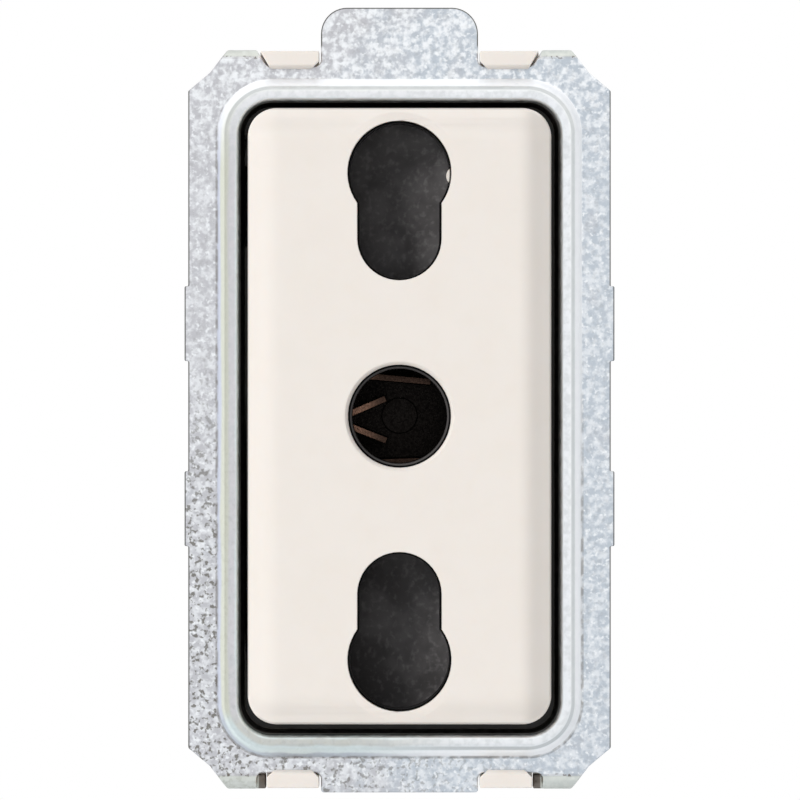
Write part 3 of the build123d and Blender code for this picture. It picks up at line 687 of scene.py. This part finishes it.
def break_edges(shape, width):
    """Merge the facets of each flat, then round the edges between them."""
    weld = shape.modifiers.new("weld", "WELD")
    weld.merge_threshold = WELD_REACH
    flats = shape.modifiers.new("flats", "DECIMATE")
    flats.decimate_type = "DISSOLVE"
    flats.angle_limit = FLAT_ANGLE
    edges = shape.modifiers.new("edges", "BEVEL")
    edges.width = width * MM
    edges.segments = EDGE_SEGMENTS
    edges.limit_method = "ANGLE"
    edges.angle_limit = EDGE_ANGLE
    edges.use_clamp_overlap = False
    normals = shape.modifiers.new("normals", "WEIGHTED_NORMAL")
    normals.weight = FLATS_FIRST
    normals.keep_sharp = True


def shade(mesh):
    """Smooth shading, but sharp at hard edges."""
    mesh.shade_smooth()
    mesh.set_sharp_from_angle(angle=SMOOTH_ANGLE)


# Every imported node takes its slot's finish, and its hard edges are broken a little
slot_of = {part["node"]: part["material_slot"] for part in frame["record"]["subparts"]}
for name, shape in frame["nodes"].items():
    slot = slot_of[name]
    for place in shape.material_slots:
        place.material = finishes[slot]
    shade(shape.data)
    if slot in EDGE_WIDTHS:
        break_edges(shape, EDGE_WIDTHS[slot])


def ring(shape, centre, depth, radius_at):
    """A ring of vertices round a depth axis, each at the radius that its angle gives."""
    made = []
    for step in range(ROUND_STEPS):
        angle = 2 * pi * step / ROUND_STEPS
        radius = radius_at(angle)
        place = (centre.x + radius * cos(angle), depth, centre.z + radius * sin(angle))
        made.append(shape.verts.new(place))
    return made


def skin(shape, rings):
    """Close a stack of rings into one solid."""
    for first, second in zip(rings, rings[1:]):
        for step in range(ROUND_STEPS):
            after = (step + 1) % ROUND_STEPS
            shape.faces.new((first[step], first[after], second[after], second[step]))
    shape.faces.new(reversed(rings[0]))
    shape.faces.new(rings[-1])
    bmesh.ops.recalc_face_normals(shape, faces=shape.faces)


def thread_radius(angle, depth, tip):
    """The shank's radius on a flank of the thread, less where the tip tapers."""
    turn = (depth / THREAD_PITCH + angle / (2 * pi)) % 1.0
    ridge = min(1.0, THREAD_FLANK * (1 - abs(2 * turn - 1)))
    radius = SHANK_RADIUS - THREAD_DEPTH * (1 - ridge)
    return min(radius, TIP_RADIUS + depth - tip)


def mesh_from(name, shape):
    """A mesh of this name from a bmesh, which is freed."""
    mesh = bpy.data.meshes.new(name)
    shape.to_mesh(mesh)
    shape.free()
    return mesh


def placed(name, data):
    """A new object in the scene."""
    made = bpy.data.objects.new(name, data)
    bpy.context.scene.collection.objects.link(made)
    return made


def screw_head(name, centre, radius, shoulder, top):
    """The screw's head, with eased corners."""
    head = bmesh.new()
    outline = (
        (shoulder, radius - HEAD_EASE / 2),
        (shoulder + HEAD_EASE / 2, radius),
        (top - HEAD_EASE, radius),
        (top - HEAD_EASE / 3, radius - HEAD_EASE / 3),
        (top, radius - HEAD_EASE),
    )
    skin(head, [ring(head, centre, depth, lambda angle, r=reach: r) for depth, reach in outline])
    return placed(name, mesh_from(name, head))


def cut_drive(screw, centre, top, along, across):
    """Cut two crossed slots of these sizes into the head."""
    cross = bmesh.new()
    for size_x, size_z in (along, across):
        box = bmesh.ops.create_cube(cross, size=1)["verts"]
        bmesh.ops.scale(cross, verts=box, vec=(size_x, 2 * DRIVE_DEPTH, size_z))
        bmesh.ops.translate(cross, verts=box, vec=(centre.x, top, centre.z))
    cutter = placed("cross", mesh_from("cross", cross))
    cut = screw.modifiers.new("cut", "BOOLEAN")
    cut.object = cutter
    cut.solver = "EXACT"
    cut.use_self = True
    shown = screw.evaluated_get(bpy.context.evaluated_depsgraph_get())
    result = bpy.data.meshes.new_from_object(shown)
    screw.modifiers.clear()
    screw.data = result
    bpy.data.objects.remove(cutter)


def add_thread(screw, centre, tip, shoulder):
    """Add the threaded shank to the screw's mesh, from its tip to inside its head."""
    thread = bmesh.new()
    rows = int((shoulder + HEAD_EASE - tip) / THREAD_PITCH * THREAD_ROWS)
    rings = []
    for row in range(rows + 1):
        depth = tip + row * THREAD_PITCH / THREAD_ROWS
        rings.append(
            ring(thread, centre, depth, lambda angle, d=depth: thread_radius(angle, d, tip))
        )
    skin(thread, rings)
    whole = bmesh.new()
    whole.from_mesh(screw.data)
    whole.from_mesh(mesh_from("thread", thread))
    whole.to_mesh(screw.data)
    whole.free()


def threaded_screw(pole):
    """A terminal screw with its thread and its drive cut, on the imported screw's own axis."""
    low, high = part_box(f"{pole}_screw")
    centre = (Vector(low) + Vector(high)) / 2
    head_radius = (high[0] - low[0]) / 2
    tip, top = low[1], high[1]
    shoulder = top - HEAD_HEIGHT
    screw = screw_head(f"{pole}_threaded_screw", centre, head_radius, shoulder, top)
    along = (2 * head_radius + DRIVE_WIDTH, DRIVE_WIDTH)
    across = (DRIVE_WIDTH, 2 * CROSS_REACH)
    if pole != "earth":
        along, across = along[::-1], across[::-1]
    cut_drive(screw, centre, top, along, across)
    add_thread(screw, centre, tip, shoulder)
    screw.data.materials.clear()
    screw.data.materials.append(finishes["screw_steel"])
    shade(screw.data)
    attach(screw, f"{pole}_screw")
    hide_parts(f"{pole}_screw")


def shortening_spring():
    """The shutter's spring: a copy of the imported one, with its own mesh, on the socket's body."""
    spring = placed("shortening_spring", frame["nodes"]["shutter_spring"].data.copy())
    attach(spring, "socket")
    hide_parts("shutter_spring")
    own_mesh(spring)


def make_floor():
    """A pale round floor below the part."""
    shape = bmesh.new()
    bmesh.ops.create_circle(shape, cap_ends=True, segments=FLOOR_SIDES, radius=FLOOR_RADIUS)
    bmesh.ops.translate(shape, verts=shape.verts, vec=(0, 0, FLOOR_HEIGHT))
    floor = placed("floor", mesh_from("floor", shape))
    finish = Finish("floor_paint", roughness=0.9)
    finish.set("Base Color", FLOOR_WHITE)
    floor.data.materials.append(finish.material)


def make_camera():
    """A long lens straight at the face, framed as the photograph is."""
    across, up = ORIGIN_PIXEL
    centre = Vector((
        (PHOTO_SIDE / 2 - across) / PIXELS_PER_MM * MM,
        0,
        (up - PHOTO_SIDE / 2) / PIXELS_PER_MM * MM,
    ))
    field = PHOTO_SIDE / PIXELS_PER_MM * MM
    camera = placed("camera", bpy.data.cameras.new("camera"))
    camera.data.sensor_width = SENSOR
    camera.data.lens = SENSOR * CAMERA_DISTANCE / field
    camera.data.clip_start = NEAREST_SEEN
    camera.location = centre + Vector((0, cad_low.y - CAMERA_DISTANCE, 0))
    camera.rotation_euler = (pi / 2, 0, 0)
    bpy.context.scene.camera = camera


def make_key_light():
    """A square soft box to the upper left, aimed at the part and not mirrored in it."""
    lamp = bpy.data.lights.new("key", "AREA")
    lamp.size = KEY_SIZE
    lamp.energy = KEY_POWER
    box = placed("key", lamp)
    box.location = KEY_PLACE
    box.rotation_euler = (-Vector(KEY_PLACE)).to_track_quat("-Z", "Y").to_euler()
    box.visible_camera = False
    box.visible_glossy = False


def leaning_light(tree, lean, stops):
    """Light that runs through these colours from one side of the sky to the side it leans to."""
    direction = node(tree, "ShaderNodeTexCoord").outputs["Generated"]
    along = node(tree, "ShaderNodeVectorMath", {0: direction, 1: lean}, operation="DOT_PRODUCT")
    halves = {0: along.outputs["Value"], 1: 0.5, 2: 0.5}
    share = node(tree, "ShaderNodeMath", halves, operation="MULTIPLY_ADD")
    ramp = node(tree, "ShaderNodeValToRGB", {0: share.outputs[0]})
    ends = ramp.color_ramp.elements
    (ends[0].position, ends[0].color), (ends[1].position, ends[1].color) = stops[0], stops[-1]
    for position, colour in stops[1:-1]:
        ends.new(position).color = colour
    return ramp.outputs[0]


def make_world():
    """Studio surroundings: what metal mirrors is brightest above and to the right, and the soft
    light on matt surfaces comes from above and the left. The camera sees plain white."""
    world = bpy.data.worlds.new("studio")
    bpy.context.scene.world = world
    world.use_nodes = True
    tree = world.node_tree
    tree.nodes.clear()
    mirrored = leaning_light(tree, MIRRORED_LEAN, MIRRORED_STOPS)
    soft = leaning_light(tree, SOFT_LEAN, SOFT_STOPS)
    diffuse_ray = node(tree, "ShaderNodeLightPath").outputs["Is Diffuse Ray"]
    lights = {0: diffuse_ray, 6: mirrored, 7: soft}
    light = node(tree, "ShaderNodeMix", lights, data_type="RGBA").outputs[2]
    lit = node(tree, "ShaderNodeBackground", {"Color": light, "Strength": 1.0})
    seen = node(tree, "ShaderNodeBackground", {"Color": WHITE, "Strength": 1.0})
    camera_ray = node(tree, "ShaderNodeLightPath").outputs["Is Camera Ray"]
    sides = {0: camera_ray, 1: lit.outputs[0], 2: seen.outputs[0]}
    mixed = node(tree, "ShaderNodeMixShader", sides)
    node(tree, "ShaderNodeOutputWorld", {"Surface": mixed.outputs[0]})


for pole in POLES:
    threaded_screw(pole)
shortening_spring()
make_floor()
make_camera()
make_world()
make_key_light()
bpy.context.scene.view_settings.view_transform = "Standard"
